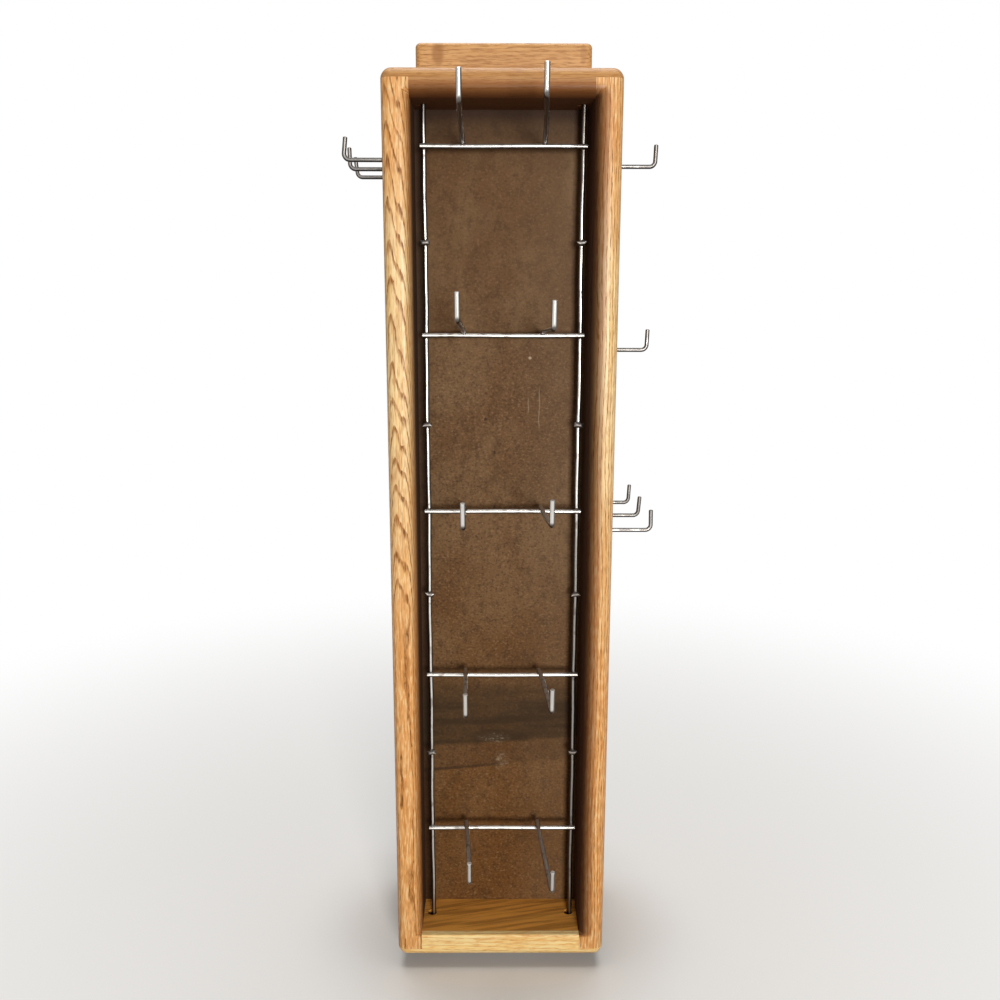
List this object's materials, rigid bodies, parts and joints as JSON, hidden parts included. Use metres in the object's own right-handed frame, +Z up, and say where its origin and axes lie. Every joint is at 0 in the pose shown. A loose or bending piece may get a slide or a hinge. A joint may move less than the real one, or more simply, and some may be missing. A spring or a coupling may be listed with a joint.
{
  "type": "jewelry stand",
  "caption": "Tall narrow oak case on a low turntable, open at front and back, with a welded wire rack of long hooks inside and short hooks on both sides, for showing jewellery.",
  "frame": {"origin": "on the swivel axis, at the face of the rubber pad that the stand rests on", "axes": "+Z up along the swivel axis, -Y out of the front of the case, +X to the right seen from the front"},
  "size_m": [0.2263, 0.2069, 0.691],
  "materials": {
    "oak": "satin varnished oak",
    "hardboard": "tempered, smooth face",
    "bright_wire": "bright nickel plate",
    "dark_wire": "dull plated wire",
    "zinc_plate": "zinc plated",
    "ball_steel": "polished",
    "screw_steel": "zinc plated",
    "rubber": "matt sheet"
  },
  "bodies": {
    "base": {"base_pad": "rubber", "turntable_lower_plate": "zinc_plate", "turntable_balls": "ball_steel", "turntable_hub_ring": "zinc_plate"},
    "case": {"bottom_board": "oak", "top_board": "oak", "side_board_left": "oak", "side_board_right": "oak", "top_cap": "oak", "partition_panel": "hardboard", "rack_upright_left": "bright_wire", "rack_upright_right": "bright_wire", "rack_rung_1": "bright_wire", "rack_rung_2": "bright_wire", "rack_rung_3": "bright_wire", "rack_rung_4": "bright_wire", "rack_rung_5": "bright_wire", "rack_cut_stubs": "bright_wire", "rack_hook_left_1": "bright_wire", "rack_hook_right_1": "bright_wire", "rack_hook_left_2": "bright_wire", "rack_hook_right_2": "bright_wire", "rack_hook_left_3": "bright_wire", "rack_hook_right_3": "bright_wire", "rack_hook_left_4": "bright_wire", "rack_hook_right_4": "bright_wire", "rack_hook_left_5": "bright_wire", "rack_hook_right_5": "bright_wire", "side_hook_left_front": "dark_wire", "side_hook_left_middle": "dark_wire", "side_hook_left_rear": "dark_wire", "side_hook_right_upper": "dark_wire", "side_hook_right_central": "dark_wire", "side_hook_right_front": "dark_wire", "side_hook_right_middle": "dark_wire", "side_hook_right_rear": "dark_wire", "turntable_upper_plate": "zinc_plate", "plate_screws": "zinc_plate", "cap_screws": "screw_steel"}
  },
  "joints": [
    {"name": "turntable_swivel", "type": "hinge", "parent": "base", "child": "case", "pos_m": [0, 0, 0.007], "axis": [0, 0, 1], "continuous": true}
  ]
}
